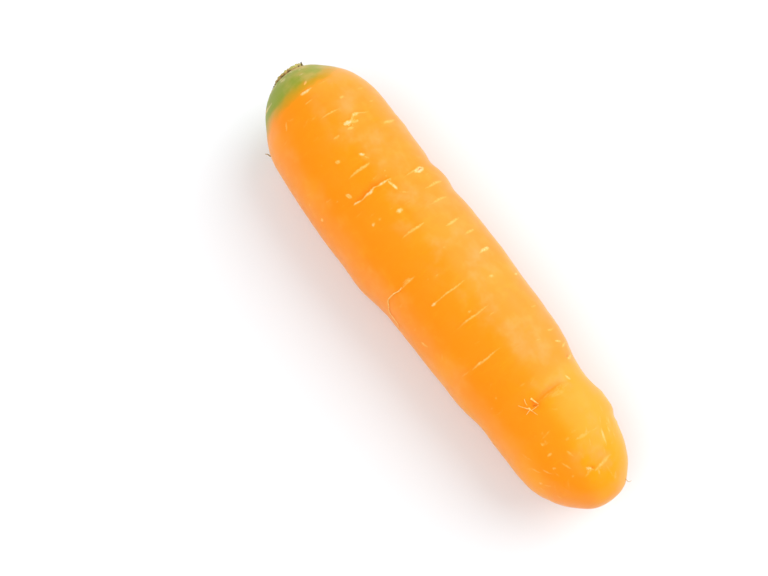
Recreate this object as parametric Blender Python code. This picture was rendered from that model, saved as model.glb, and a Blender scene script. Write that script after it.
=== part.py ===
"""A blunt, stump-rooted carrot with its leaf stalks cropped off short, lying on its side.

The frame is in metres with +Z up. The carrot lies along X, leaf crown at -X and root tip at +X, on the
plane z = 0, and the origin is the middle of its box at that plane. The lists below are in millimetres:
"along" is measured from the outermost leaf stub towards the tip, and "turn" is in degrees round the
root, 0 on top and positive towards +Y.

The root grew as one piece. The cropped leaf stalks are pieces of their own, seated in the hollow of the
crown: an outer ring, an inner ring and the heart of the next leaves.
"""

import math

import bmesh
import bpy
from mathutils import Matrix, Vector

MM = 0.001

# Outline of the root: (along, radius), from the floor of the crown hollow, over its rim, to the tip
HOLLOW = [(3.0, 0.0), (2.9, 2.6), (3.0, 4.6), (2.55, 5.8), (1.9, 6.8)]
SHOULDER = [(2.7, 8.3), (4.4, 10.2), (7.4, 13.0), (10.4, 15.2), (14.0, 17.2), (19.0, 18.9), (25.0, 19.6)]
BODY = [(33.0, 20.0), (44.0, 20.2), (60.0, 20.3), (76.0, 20.0), (92.0, 19.3), (108.0, 19.1)]
LOWER_END = [(114.5, 18.3), (121.0, 17.1), (127.0, 17.1), (135.0, 17.3), (141.0, 16.5)]
TIP = [(146.5, 15.0), (151.5, 12.6), (155.5, 9.6), (158.5, 6.0), (159.7, 3.0), (160.0, 0.0)]
OUTLINE = HOLLOW + SHOULDER + BODY + LOWER_END + TIP
OUTLINE_STEP = 4.5
SEGMENTS_ROUND = 40

# The line through the middle of the root: (along, sideways in Y, height above the middle at the crown)
CORE_LINE = [
    (0.0, 0.0, 0.0),
    (20.0, -0.5, 0.0),
    (44.0, -1.2, 0.0),
    (66.0, -0.8, -0.2),
    (88.0, 0.0, -0.6),
    (112.0, 0.0, -1.0),
    (130.0, -0.2, -1.3),
    (146.0, -0.5, -1.2),
    (160.0, 0.4, -1.0),
]

# Swellings and dents of the skin: (along, turn, height, half length, half width in degrees)
LUMPS = [
    (53.5, 78.0, 0.5, 4.5, 32.0),
    (62.0, -98.0, 0.3, 7.0, 30.0),
    (77.0, -96.0, -0.5, 9.0, 38.0),
    (122.0, 10.0, -0.4, 4.0, 45.0),
    (135.5, 85.0, 0.3, 4.5, 35.0),
    (143.0, 80.0, -0.3, 4.0, 35.0),
    (100.0, 170.0, 0.3, 14.0, 30.0),
    (30.0, 150.0, 0.3, 10.0, 35.0),
    (36.0, -140.0, -0.3, 6.0, 30.0),
]

# How far the underside is pressed flat where the root lies on it
REST_FLAT_DEPTH = 0.45

# Leaf stubs in the crown hollow
STUB_FLOOR = 2.6
STUB_EDGE = 0.25
OUTER_RING = {"radius": 4.75, "thickness": 1.2, "lean": 0.12}
INNER_RING = {"radius": 2.6, "thickness": 1.1, "lean": 0.08}
HEART_RADIUS = 1.15
HEART_TOP = 0.9
HEART_SIDES = 10

# (name, ring, turn of its middle, width in degrees, along of its cropped top)
STUBS = [
    ("leaf_stub_outer_1", OUTER_RING, 38.0, 62.0, 0.0),
    ("leaf_stub_outer_2", OUTER_RING, 112.0, 66.0, 0.5),
    ("leaf_stub_outer_3", OUTER_RING, 186.0, 64.0, 0.9),
    ("leaf_stub_outer_4", OUTER_RING, 257.0, 60.0, 0.8),
    ("leaf_stub_outer_5", OUTER_RING, 325.0, 60.0, 0.5),
    ("leaf_stub_inner_1", INNER_RING, 20.0, 84.0, 0.3),
    ("leaf_stub_inner_2", INNER_RING, 140.0, 88.0, 0.7),
    ("leaf_stub_inner_3", INNER_RING, 260.0, 84.0, 1.1),
]
STUB_STEP_DEGREES = 10.0

# Base colours (linear), roughness
ROOT_ORANGE = (0.93, 0.33, 0.035, 1.0)
STUB_GREEN = (0.32, 0.33, 0.07, 1.0)
HEART_GREEN = (0.26, 0.34, 0.06, 1.0)


def clear_scene():
    """Removes whatever objects the open file holds."""
    for ob in list(bpy.data.objects):
        bpy.data.objects.remove(ob, do_unlink=True)


def make_material(name, colour, roughness):
    """One plain Principled material for a piece."""
    material = bpy.data.materials.new(name)
    material.use_nodes = True
    shader = material.node_tree.nodes["Principled BSDF"]
    shader.inputs["Base Color"].default_value = colour
    shader.inputs["Roughness"].default_value = roughness
    shader.inputs["Metallic"].default_value = 0.0
    return material


def make_object(name, bm, material):
    """Turns a finished bmesh into a smooth-shaded object with outward faces."""
    bmesh.ops.recalc_face_normals(bm, faces=bm.faces)
    mesh = bpy.data.meshes.new(name)
    bm.to_mesh(mesh)
    bm.free()
    mesh.materials.append(material)
    mesh.shade_smooth()
    mesh.set_sharp_from_angle(angle=math.radians(40.0))
    ob = bpy.data.objects.new(name, mesh)
    bpy.context.scene.collection.objects.link(ob)
    return ob


def cubic_through(before, start, stop, after, t):
    """A place on the smooth curve from start to stop, which heads the way its neighbours point."""
    across = stop - start
    leaving = (stop - before) / 2
    arriving = (after - start) / 2
    bend = 3 * across - 2 * leaving - arriving
    turn_in = leaving + arriving - 2 * across
    return start + leaving * t + bend * t * t + turn_in * t * t * t


def spans(points):
    """Each pair of neighbouring points with the points on either side of it."""
    ends = [2 * points[0] - points[1]] + points + [2 * points[-1] - points[-2]]
    return zip(ends, ends[1:], ends[2:], ends[3:])


def smooth_curve(points, step):
    """Points on a curve that passes through all the given ones, about one step apart."""
    curve = []
    for before, start, stop, after in spans(points):
        pieces = max(1, math.ceil((stop - start).length / step))
        curve += [cubic_through(before, start, stop, after, i / pieces) for i in range(pieces)]
    return curve + [points[-1]]


def core_at(along):
    """The middle of the root at one distance along."""
    for before, start, stop, after in spans([Vector(row) for row in CORE_LINE]):
        if along <= stop.x:
            t = (along - start.x) / (stop.x - start.x)
            return cubic_through(before, start, stop, after, t)
    return Vector(CORE_LINE[-1])


def lump_height(along, turn):
    """How far all the swellings and dents move the skin at one place."""
    total = 0.0
    for at, at_turn, height, half_length, half_width in LUMPS:
        round_way = (turn - at_turn + 180.0) % 360.0 - 180.0
        reach = ((along - at) / half_length) ** 2 + (round_way / half_width) ** 2
        total += height * math.exp(-reach)
    return total


def spun_root():
    """The root as a turned shape about X, in millimetres."""
    bm = bmesh.new()
    outline = smooth_curve([Vector((along, 0.0, radius)) for along, radius in OUTLINE], OUTLINE_STEP)
    rail = [bm.verts.new(point) for point in outline]
    for a, b in zip(rail, rail[1:]):
        bm.edges.new((a, b))
    bmesh.ops.spin(
        bm,
        geom=bm.verts[:] + bm.edges[:],
        cent=(0, 0, 0),
        axis=(1, 0, 0),
        angle=math.tau,
        steps=SEGMENTS_ROUND,
        use_merge=True,
    )
    bmesh.ops.remove_doubles(bm, verts=bm.verts, dist=0.001)
    return bm


def shape_root(bm):
    """Swells and dents the turned root, then lays it along its slightly bent middle line."""
    for v in bm.verts:
        along = v.co.x
        radius = math.hypot(v.co.y, v.co.z)
        if radius > 1.0:
            turn = math.degrees(math.atan2(v.co.y, v.co.z))
            swell = (radius + lump_height(along, turn)) / radius
            v.co.y *= swell
            v.co.z *= swell
        core = core_at(along)
        v.co.y += core.y
        v.co.z += core.z


def press_flat(bm, depth):
    """Cuts the lowest sliver off, which leaves the flat that the carrot lies on."""
    level = min(v.co.z for v in bm.verts) + depth
    bmesh.ops.bisect_plane(
        bm,
        geom=bm.verts[:] + bm.edges[:] + bm.faces[:],
        dist=0.0005,
        plane_co=(0, 0, level),
        plane_no=(0, 0, -1),
        clear_outer=True,
    )
    rim = [e for e in bm.edges if e.is_boundary]
    bmesh.ops.edgeloop_fill(bm, edges=rim)


def build_root():
    """The whole storage root, one solid."""
    bm = spun_root()
    shape_root(bm)
    press_flat(bm, REST_FLAT_DEPTH)
    bmesh.ops.scale(bm, vec=(MM, MM, MM), verts=bm.verts)
    return make_object("carrot_root", bm, make_material("root_skin", ROOT_ORANGE, 0.38))


def build_stub(name, ring, turn, width, top, material):
    """One cropped leaf stalk: a curved band that stands up out of the hollow and leans outwards."""
    bm = bmesh.new()
    inner = ring["radius"] - ring["thickness"] / 2
    outer = ring["radius"] + ring["thickness"] / 2
    section = [(STUB_FLOOR, 0, inner), (STUB_FLOOR, 0, outer), (top, 0, outer), (top, 0, inner)]
    face = bm.faces.new([bm.verts.new(p) for p in section])
    bmesh.ops.spin(
        bm,
        geom=[face],
        cent=(0, 0, 0),
        axis=(1, 0, 0),
        angle=math.radians(width),
        steps=round(width / STUB_STEP_DEGREES),
    )
    bmesh.ops.recalc_face_normals(bm, faces=bm.faces)
    sharp = [e for e in bm.edges if e.calc_face_angle(0.0) > math.radians(45.0)]
    bmesh.ops.bevel(bm, geom=sharp, offset=STUB_EDGE, affect="EDGES", segments=1, profile=0.5, material=-1)
    for v in bm.verts:
        lean = 1 + ring["lean"] * (STUB_FLOOR - v.co.x) / STUB_FLOOR
        v.co.y *= lean
        v.co.z *= lean
    start = math.radians(-turn - width / 2)
    bmesh.ops.rotate(bm, cent=(0, 0, 0), matrix=Matrix.Rotation(start, 3, "X"), verts=bm.verts)
    bmesh.ops.scale(bm, vec=(MM, MM, MM), verts=bm.verts)
    return make_object(name, bm, material)


def build_heart(material):
    """The closed bud of young leaf bases in the middle of the crown."""
    bm = bmesh.new()
    bmesh.ops.create_cone(
        bm,
        cap_ends=True,
        segments=HEART_SIDES,
        radius1=HEART_RADIUS,
        radius2=HEART_RADIUS * 0.6,
        depth=STUB_FLOOR - HEART_TOP,
    )
    bmesh.ops.rotate(bm, cent=(0, 0, 0), matrix=Matrix.Rotation(math.radians(-90.0), 3, "Y"), verts=bm.verts)
    bmesh.ops.translate(bm, vec=((STUB_FLOOR + HEART_TOP) / 2, 0, 0), verts=bm.verts)
    bmesh.ops.scale(bm, vec=(MM, MM, MM), verts=bm.verts)
    return make_object("leaf_heart", bm, material)


def centre_on_origin(objects):
    """Moves every mesh so that the middle of the whole box, at its lowest level, is the origin."""
    corners = [v.co for ob in objects for v in ob.data.vertices]
    low = Vector([min(c[i] for c in corners) for i in range(3)])
    high = Vector([max(c[i] for c in corners) for i in range(3)])
    shift = Vector((-(low.x + high.x) / 2, -(low.y + high.y) / 2, -low.z))
    for ob in objects:
        ob.data.transform(Matrix.Translation(shift))


def build_carrot():
    """All the pieces, in place."""
    clear_scene()
    stub_green = make_material("leaf_stub", STUB_GREEN, 0.7)
    pieces = [build_root()]
    for name, ring, turn, width, top in STUBS:
        pieces.append(build_stub(name, ring, turn, width, top, stub_green))
    pieces.append(build_heart(make_material("leaf_heart", HEART_GREEN, 0.65)))
    centre_on_origin(pieces)


build_carrot()
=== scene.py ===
# %% [markdown]
# # A blunt carrot, washed and cropped
#
# The object is one carrot root with its leaf stalks cut off short. The root grew as one piece: a
# smooth, slightly waxy orange skin, a green shoulder where light reached it, and pale corky scars
# where its fine side roots came out.
#
# The fixed frame comes first: it says where the carrot lies and how big it is. The rest is designed
# in millimetres along the root and degrees round it, and then moved into the frame.

# %% Load the frame
import math
import random
from collections import namedtuple

import bmesh
import bpy
import numpy as np
from mathutils import Matrix, Vector, noise
from mathutils.bvhtree import BVHTree


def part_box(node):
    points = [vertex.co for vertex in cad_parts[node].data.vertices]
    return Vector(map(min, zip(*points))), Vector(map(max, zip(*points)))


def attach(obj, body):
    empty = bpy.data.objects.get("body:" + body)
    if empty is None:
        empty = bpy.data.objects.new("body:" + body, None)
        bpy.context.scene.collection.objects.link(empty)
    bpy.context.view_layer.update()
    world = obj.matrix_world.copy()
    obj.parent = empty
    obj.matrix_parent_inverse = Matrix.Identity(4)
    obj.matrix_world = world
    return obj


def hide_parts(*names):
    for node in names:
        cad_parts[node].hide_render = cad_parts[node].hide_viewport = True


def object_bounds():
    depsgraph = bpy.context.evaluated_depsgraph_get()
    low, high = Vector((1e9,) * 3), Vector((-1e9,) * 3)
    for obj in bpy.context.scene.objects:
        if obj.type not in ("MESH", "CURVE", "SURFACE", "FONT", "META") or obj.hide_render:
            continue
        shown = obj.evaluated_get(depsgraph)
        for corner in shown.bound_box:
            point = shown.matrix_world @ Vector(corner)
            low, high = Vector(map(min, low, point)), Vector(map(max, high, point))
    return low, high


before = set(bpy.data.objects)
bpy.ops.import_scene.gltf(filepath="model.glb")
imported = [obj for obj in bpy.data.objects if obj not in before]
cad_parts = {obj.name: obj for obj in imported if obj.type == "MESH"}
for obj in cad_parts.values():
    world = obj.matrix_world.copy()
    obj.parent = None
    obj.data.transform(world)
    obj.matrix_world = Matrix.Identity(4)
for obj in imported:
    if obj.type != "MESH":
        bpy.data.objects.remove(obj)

MM = 0.001
cad_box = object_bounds()
CAD_LOW, CAD_HIGH = (np.array(corner) for corner in cad_box)
CROWN_END, TIP_END = float(CAD_LOW[0]), float(CAD_HIGH[0])
MIDDLE = Vector((CAD_LOW + CAD_HIGH) / 2)


def add_object(name, data):
    """An object at the origin, linked into the scene."""
    thing = bpy.data.objects.new(name, data)
    bpy.context.scene.collection.objects.link(thing)
    return thing


print("carrot box in mm:", np.round((CAD_HIGH - CAD_LOW) / MM, 1))

# %% [markdown]
# ## Camera
#
# The carrot lies flat and the camera looks steeply down on it from a little beyond its side, so that
# the root runs from the upper left to the lower right. A camera is easiest to place by the direction
# it looks from: an azimuth, an elevation and a distance from the point it aims at. That point is set
# off to one side, which puts the carrot right of the middle of the view without any lens shift.

# %% Camera
AZIMUTH = math.radians(54.0)
ELEVATION = math.radians(75.6)
CAMERA_DISTANCE = 0.4422
AIM_LEFT = 0.0171
AIM_DOWN = 0.0015
LENS_MM = 70.0
SENSOR_MM = 36.0
NEAREST_SEEN = 0.01

back = Vector((
    math.sin(AZIMUTH) * math.cos(ELEVATION),
    -math.cos(AZIMUTH) * math.cos(ELEVATION),
    math.sin(ELEVATION),
))
camera_right = Vector((math.cos(AZIMUTH), math.sin(AZIMUTH), 0.0))
camera_up = back.cross(camera_right)

camera_data = bpy.data.cameras.new("camera")
camera_data.lens = LENS_MM
camera_data.sensor_width = SENSOR_MM
camera_data.clip_start = NEAREST_SEEN
camera = add_object("camera", camera_data)
aim = MIDDLE - camera_right * AIM_LEFT - camera_up * AIM_DOWN
turned = Matrix((camera_right, camera_up, back)).transposed().to_4x4()
camera.matrix_world = Matrix.Translation(aim + back * CAMERA_DISTANCE) @ turned
bpy.context.scene.camera = camera
print("camera at", tuple(round(c, 3) for c in camera.location))

# %% [markdown]
# ## Helpers for materials
#
# Every finish below is a small tree of nodes: cloudy patterns, thresholds that turn a pattern into a
# mask, and mixes of two colours. A tree written out link by link is hard to read, so these helpers
# each add one node and hand back its output, and a finish then reads like a recipe.

# %% Small helpers for materials
def new_material(name, sockets):
    """A material with its Principled shader's own sockets set, and its node tree."""
    material = bpy.data.materials.new(name)
    material.use_nodes = True
    tree = material.node_tree
    shader = tree.nodes["Principled BSDF"]
    for socket, value in sockets.items():
        shader.inputs[socket].default_value = value
    return material, tree, shader


def add_node(tree, kind, inputs, **settings):
    """One node with its settings. Its inputs are numbers, colours or other nodes' outputs."""
    node = tree.nodes.new(kind)
    for key, value in settings.items():
        setattr(node, key, value)
    for key, value in inputs.items():
        if isinstance(value, bpy.types.NodeSocket):
            tree.links.new(value, node.inputs[key])
        else:
            node.inputs[key].default_value = value
    return node


def tree_of(*values):
    """The node tree that holds the outputs among some values."""
    return next(value.id_data for value in values if isinstance(value, bpy.types.NodeSocket))


def mixed(share, first, second):
    """The colour part-way between two colours."""
    parts = {0: share, 6: first, 7: second}
    return add_node(tree_of(share, first, second), "ShaderNodeMix", parts, data_type="RGBA").outputs[2]


def math_node(operation, first, second=0.0):
    """One sum on two values."""
    parts = {0: first, 1: second}
    return add_node(tree_of(first, second), "ShaderNodeMath", parts, operation=operation).outputs[0]


def times(first, second):
    """The product of two values."""
    return math_node("MULTIPLY", first, second)


def plus(first, *others):
    """The sum of two or more values."""
    for other in others:
        first = math_node("ADD", first, other)
    return first


def smooth_step(value, low, high):
    """0 at low, 1 at high, and an eased rise between them."""
    limits = {"Value": value, "From Min": low, "From Max": high}
    node = add_node(value.id_data, "ShaderNodeMapRange", limits, interpolation_type="SMOOTHSTEP")
    return node.outputs["Result"]


def cloudy(place, scale, detail=2.0, roughness=0.5):
    """A cloudy pattern between 0 and 1, with scale in lumps per metre."""
    lumps = {"Vector": place, "Scale": scale, "Detail": detail, "Roughness": roughness}
    return add_node(place.id_data, "ShaderNodeTexNoise", lumps).outputs["Fac"]


def waver(place, scale, reach):
    """A cloudy pattern that swings about zero, by up to about a quarter of reach either way."""
    return times(math_node("SUBTRACT", cloudy(place, scale), 0.5), reach)


def attribute(tree, name):
    """A value stored on the points of the mesh."""
    return add_node(tree, "ShaderNodeAttribute", {}, attribute_name=name).outputs["Fac"]


def object_place(tree):
    """The place on the piece, in metres, wherever the piece itself is used."""
    return add_node(tree, "ShaderNodeTexCoord", {}).outputs["Object"]


def stretched(place, scale):
    """The place with its axes scaled, which draws a pattern out into fibres."""
    change = {"Vector": place, "Scale": scale}
    return add_node(place.id_data, "ShaderNodeMapping", change).outputs["Vector"]


def axes_of(place):
    """The place's three coordinates, named X, Y and Z."""
    return add_node(place.id_data, "ShaderNodeSeparateXYZ", {"Vector": place}).outputs


def link_finish(tree, shader, colour, roughness, height, strength, depth):
    """Gives the shader its colour, its roughness and fine bumps of so many metres."""
    bump = add_node(tree, "ShaderNodeBump", {"Height": height, "Strength": strength, "Distance": depth})
    tree.links.new(colour, shader.inputs["Base Color"])
    tree.links.new(roughness, shader.inputs["Roughness"])
    tree.links.new(bump.outputs["Normal"], shader.inputs["Normal"])


print("helpers ready")

# %% [markdown]
# ## Light and floor
#
# Washed vegetables look their best in a white tent of light: light comes from all round, so the
# shadows stay soft and faint. The sky of the scene is the tent. One large soft lamp on the far side
# gives the skin a broad, gentle sheen, a low one behind it makes the far edge glow, and a third,
# which adds no sheen, keeps the near side from going dull.

# %% Light and floor
FLOOR_SIZE = 3.0
FLOOR_WHITE = (0.835, 0.845, 0.855, 1.0)
FLOOR_SHADE = (0.825, 0.835, 0.85, 1.0)
TENT_WHITE = (0.96, 0.98, 1.0, 1.0)
FLOOR_CLOUDS = 6.0
TENT_STRENGTH = 0.60
Lamp = namedtuple("Lamp", "name direction distance size power gives_sheen")
LAMPS = [
    Lamp("soft_key", (0.10, 0.72, 0.68), 1.0, 1.3, 8.8, True),
    Lamp("far_glow", (0.0, 0.98, 0.14), 1.0, 0.7, 1.8, True),
    Lamp("near_fill", (0.0, -0.50, 0.87), 1.0, 1.0, 5.4, False),
]

world = bpy.data.worlds.new("tent")
world.use_nodes = True
sky = world.node_tree.nodes["Background"].inputs
sky["Color"].default_value = TENT_WHITE
sky["Strength"].default_value = TENT_STRENGTH
world.cycles_visibility.glossy = False
bpy.context.scene.world = world
bpy.context.scene.view_settings.view_transform = "Standard"

for lamp in LAMPS:
    light = bpy.data.lights.new(lamp.name, "AREA")
    light.shape = "DISK"
    light.size = lamp.size
    light.energy = lamp.power
    holder = add_object(lamp.name, light)
    holder.visible_glossy = lamp.gives_sheen
    direction = Vector(lamp.direction).normalized()
    facing = direction.to_track_quat("Z", "Y").to_matrix().to_4x4()
    holder.matrix_world = Matrix.Translation(MIDDLE + direction * lamp.distance) @ facing

floor_bm = bmesh.new()
bmesh.ops.create_grid(floor_bm, x_segments=4, y_segments=4, size=FLOOR_SIZE / 2)
bmesh.ops.translate(floor_bm, vec=(0, 0, CAD_LOW[2]), verts=floor_bm.verts)
floor_mesh = bpy.data.meshes.new("floor")
floor_bm.to_mesh(floor_mesh)
floor_bm.free()
floor = add_object("floor", floor_mesh)
dull = {"Roughness": 0.7, "Specular IOR Level": 0.2}
floor_material, tree, shader = new_material("white_board", dull)
floor_colour = mixed(cloudy(object_place(tree), FLOOR_CLOUDS), FLOOR_WHITE, FLOOR_SHADE)
tree.links.new(floor_colour, shader.inputs["Base Color"])
floor_mesh.materials.append(floor_material)
print("lamps:", [lamp.name for lamp in LAMPS])

# %% [markdown]
# ## The outline of the root
#
# A carrot is nearly a turned shape, so its body starts as a profile spun about its long axis. The
# profile has only the points the shape needs: the hollow the leaves grow from, the round shoulder,
# the long body, the slight waist above the end and the blunt tip. A smooth curve through them gives
# as many rings as the fine scars need, which a subdivided coarse mesh couldn't place freely.

# %% Driving shape, in millimetres and degrees
HOLLOW = [(3, 0), (2.9, 2.6), (2.7, 4.6), (2.1, 5.5), (1.2, 6.2)]
SHOULDER = [(1.4, 7.6), (3, 10), (5.8, 12.8), (9, 15.2), (13, 17.3), (18.4, 18.9), (25, 19.6)]
BODY = [(33, 20), (44, 20.2), (60, 20.3), (76, 20), (92, 19.3), (108, 19.1)]
LOWER_END = [(114.5, 18.3), (121, 17.1), (127, 17.1), (135, 17.3), (141, 16.5)]
TIP = [(146.5, 15), (151.5, 12.6), (155.5, 9.6), (158.5, 6), (159.7, 3), (160, 0)]
OUTLINE = HOLLOW + SHOULDER + BODY + LOWER_END + TIP

CORE_LINE = [
    (0, 0, 0), (20, -0.5, 0), (44, -1.2, 0), (66, -0.8, -0.2), (88, 0, -0.6),
    (112, 0, -1), (130, -0.2, -1.3), (146, -0.5, -1.2), (160, 0.4, -1),
]
RING_STEP = 0.31
SEGMENTS_ROUND = 150
CORE_STEP = 1.0
SAME_POINT = 0.0005
BODY_FROM = 1.0
BODY_OVER = 5.0


def cubic_through(before, start, stop, after, t):
    """A place on the smooth curve from start to stop, which heads the way its neighbours point."""
    across = stop - start
    leaving = (stop - before) / 2
    arriving = (after - start) / 2
    bend = 3 * across - 2 * leaving - arriving
    turn_in = leaving + arriving - 2 * across
    return start + leaving * t + bend * t * t + turn_in * t * t * t


def spans(points):
    """Each pair of neighbouring points with the points on either side of it."""
    ends = [2 * points[0] - points[1]] + points + [2 * points[-1] - points[-2]]
    return zip(ends, ends[1:], ends[2:], ends[3:])


def smooth_curve(points, step):
    """Points on a curve that passes through all the given ones, about one step apart."""
    curve = []
    for before, start, stop, after in spans(points):
        pieces = max(1, math.ceil((stop - start).length / step))
        curve += [cubic_through(before, start, stop, after, i / pieces) for i in range(pieces)]
    return curve + [points[-1]]


core_points = smooth_curve([Vector(row) for row in CORE_LINE], CORE_STEP)
core_table = np.array([tuple(point) for point in core_points])


def core_at(along):
    """The middle of the root, sideways and up, at each distance along."""
    side = np.interp(along, core_table[:, 0], core_table[:, 1])
    height = np.interp(along, core_table[:, 0], core_table[:, 2])
    return side, height


print("widest radius:", max(radius for _, radius in OUTLINE), "mm")

# %% Spin the root
root_bm = bmesh.new()
profile = smooth_curve([Vector((along, 0.0, radius)) for along, radius in OUTLINE], RING_STEP)
rail = [root_bm.verts.new(point) for point in profile]
for a, b in zip(rail, rail[1:]):
    root_bm.edges.new((a, b))
bmesh.ops.spin(
    root_bm,
    geom=root_bm.verts[:] + root_bm.edges[:],
    cent=(0, 0, 0),
    axis=(1, 0, 0),
    angle=math.tau,
    steps=SEGMENTS_ROUND,
    use_merge=True,
)
bmesh.ops.remove_doubles(root_bm, verts=root_bm.verts, dist=SAME_POINT)
bmesh.ops.recalc_face_normals(root_bm, faces=root_bm.faces)
root_mesh = bpy.data.meshes.new("carrot_skin")
root_bm.to_mesh(root_mesh)
root_bm.free()

coordinates = np.empty(len(root_mesh.vertices) * 3)
root_mesh.vertices.foreach_get("co", coordinates)
spun = coordinates.reshape(-1, 3)
ALONG = spun[:, 0].copy()
RADIUS = np.hypot(spun[:, 1], spun[:, 2])
TURN = np.degrees(np.arctan2(spun[:, 1], spun[:, 2]))
BODY_SHARE = np.clip((RADIUS - BODY_FROM) / BODY_OVER, 0.0, 1.0)
print("skin:", len(root_mesh.vertices), "points,", len(profile), "rings")

# %% [markdown]
# ## Swellings, dents and rings
#
# No root is truly round. A few broad lumps make the outline wander, narrow ones pinch it where old
# side roots sat, and faint waves run all over it. They are added to the radius of every point as
# smooth bumps, which keeps the skin whole, where a sculpted mesh would be hard to repeat exactly.

# %% Broad shape
Lump = namedtuple("Lump", "along turn height half_length half_width")
BROAD_LUMPS = [Lump(*row) for row in (
    (5, 80, -1.1, 5.5, 50), (54, 78, -0.15, 9, 32), (38, 85, -0.35, 9, 35), (104, -90, -0.5, 7, 35),
    (134, -90, -0.7, 6, 35), (127.5, 82, -0.75, 4.5, 32), (66, -98, 0.4, 6, 30),
    (79.5, -96, -0.55, 8, 38), (122, 10, -0.4, 4, 45), (138.5, 85, 0.6, 4, 35),
    (144.5, 80, -0.35, 4, 35), (108, 82, -0.2, 5, 30), (10.5, -92, -0.6, 4.5, 40),
    (100, 170, 0.3, 14, 30), (30, 150, 0.3, 10, 35), (36, -140, -0.3, 6, 30),
)]
NARROW_LUMPS = [Lump(*row) for row in (
    (34.5, 82, 0.25, 3, 24), (49.2, 82, -0.72, 2.5, 22), (54.8, 80, 0.25, 3.2, 24),
    (60.5, 82, -0.4, 3, 26), (49.3, -10, -0.25, 2.6, 30), (126, 8, -0.45, 2.4, 40),
    (131, 20, 0.2, 3.5, 50), (141.2, 84, -0.5, 1.3, 24), (96.3, -10, -0.15, 3, 30),
    (86.7, -14, -0.15, 3, 30), (108, -22, -0.15, 2.6, 26), (93.5, -66, -0.2, 2.5, 16),
    (66, 170, -0.3, 3, 35), (88, 130, -0.35, 2.4, 25), (112, -150, -0.4, 3, 30),
    (24, -170, -0.2, 3, 22),
)]


FULL_TURN = 360.0


def wrapped(degrees):
    """Angles brought between minus and plus half a turn."""
    return (degrees + FULL_TURN / 2) % FULL_TURN - FULL_TURN / 2


def lump_height(lumps):
    """How far a list of swellings and dents moves each point of the skin."""
    total = np.zeros(len(ALONG))
    for lump in lumps:
        reach = ((ALONG - lump.along) / lump.half_length) ** 2
        reach += (wrapped(TURN - lump.turn) / lump.half_width) ** 2
        total += lump.height * np.exp(-reach)
    return total


def slow_waves(seed, count, longest, shortest):
    """A gentle unevenness: waves of mixed length along the root that close up round it."""
    draws = random.Random(seed)
    total = np.zeros(len(ALONG))
    for _ in range(count):
        length = draws.uniform(shortest, longest)
        lobes = draws.choice((0, 1, 2, 3, 4))
        phase = draws.uniform(0.0, math.tau)
        total += np.sin(math.tau * ALONG / length + lobes * np.radians(TURN) + phase)
    return total / math.sqrt(count)


LONG_WAVES = 0.07
SHORT_WAVES = 0.022
CRUMPLES = 0.05
CRUMPLED_FROM = 124.0
CRUMPLED_OVER = 8.0
rise = lump_height(BROAD_LUMPS) + lump_height(NARROW_LUMPS)
rise += LONG_WAVES * slow_waves(seed=3, count=9, longest=40.0, shortest=14.0)
rise += SHORT_WAVES * slow_waves(seed=5, count=12, longest=9.0, shortest=3.2)
crumpled = np.clip((ALONG - CRUMPLED_FROM) / CRUMPLED_OVER, 0.0, 1.0)
rise += CRUMPLES * slow_waves(seed=17, count=14, longest=9.0, shortest=3.6) * crumpled
print("broad shape moves the skin by", round(rise.min(), 2), "to", round(rise.max(), 2), "mm")

# %% [markdown]
# ## Scars in the skin
#
# Fine side roots leave the carrot in rows. Where each one came out the skin healed over with pale
# cork: mostly thin streaks that run round the root, some grains, a few small pits, and now and then
# a long crease. The ones that give this carrot its face are placed one by one. Each is laid down
# twice: as a small rise or groove in the mesh, and as values on every point that say how wide the
# scar is there and how far the point lies across it. The skin material compares the two, so the pale
# mark keeps a ragged edge that is finer than the mesh, and colour and shape always agree.

# %% Where scars are kept
FADE_BEYOND = 0.3
FADE_SLOPE = 2.5
NO_SCAR = -1.0
CROWN_PART = 20.0
hollow_curve = smooth_curve([Vector((along, 0.0, radius)) for along, radius in HOLLOW], RING_STEP)
OUTSIDE_ALONG = [point.x for point in profile[len(hollow_curve):]]
OUTSIDE_RADIUS = [point.z for point in profile[len(hollow_curve):]]
ON_OUTSIDE = (RADIUS > HOLLOW[-1][1] + 0.2) | (ALONG > CROWN_PART)
POINTS = len(ALONG)
scar_width = np.full(POINTS, NO_SCAR)
scar_across = np.zeros(POINTS)
scar_tone = np.zeros(POINTS)
pit = np.full(POINTS, NO_SCAR)
# Painted shade: how much darker orange each point takes beside creases, streaks and pits.
painted_scar_shade = np.zeros(POINTS)


def scar_place(along, turn, lean):
    """How far along a scar and across it each point lies, in mm. The scar leans by some degrees."""
    near = np.interp(along, OUTSIDE_ALONG, OUTSIDE_RADIUS)
    round_way = np.radians(wrapped(TURN - turn)) * near
    length_way = ALONG - along
    cosine, sine = math.cos(math.radians(lean)), math.sin(math.radians(lean))
    return round_way * cosine + length_way * sine, length_way * cosine - round_way * sine


def keep_scar(width, across, tone):
    """Stores a scar on the points that lie deeper inside it than inside any other scar."""
    beyond = np.maximum(np.abs(across) - np.abs(width) - FADE_BEYOND, 0.0)
    width = np.clip(width - FADE_SLOPE * beyond, NO_SCAR, 1.0)
    deeper = (width - np.abs(across) > scar_width - np.abs(scar_across)) & ON_OUTSIDE
    scar_width[deeper] = width[deeper]
    scar_across[deeper] = across[deeper]
    scar_tone[deeper] = np.broadcast_to(tone, width.shape)[deeper]


print(int(ON_OUTSIDE.sum()), "of", POINTS, "points can carry a scar")

# %% One streak, grain, pit or crease
Streak = namedtuple("Streak", "along turn length width lean pale")
Grain = namedtuple("Grain", "along turn length width lean pale")
Pit = namedtuple("Pit", "along turn length width lean dark")
STREAK_HEIGHT = 0.085
GRAIN_HEIGHT = 0.10
PIT_DEPTH = 0.22
PIT_EDGE = 0.14
WIDER = 1.1
PAST_END = 0.6
ACROSS_LIMIT = 1.5
SHADE_OFFSET = 0.55


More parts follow.
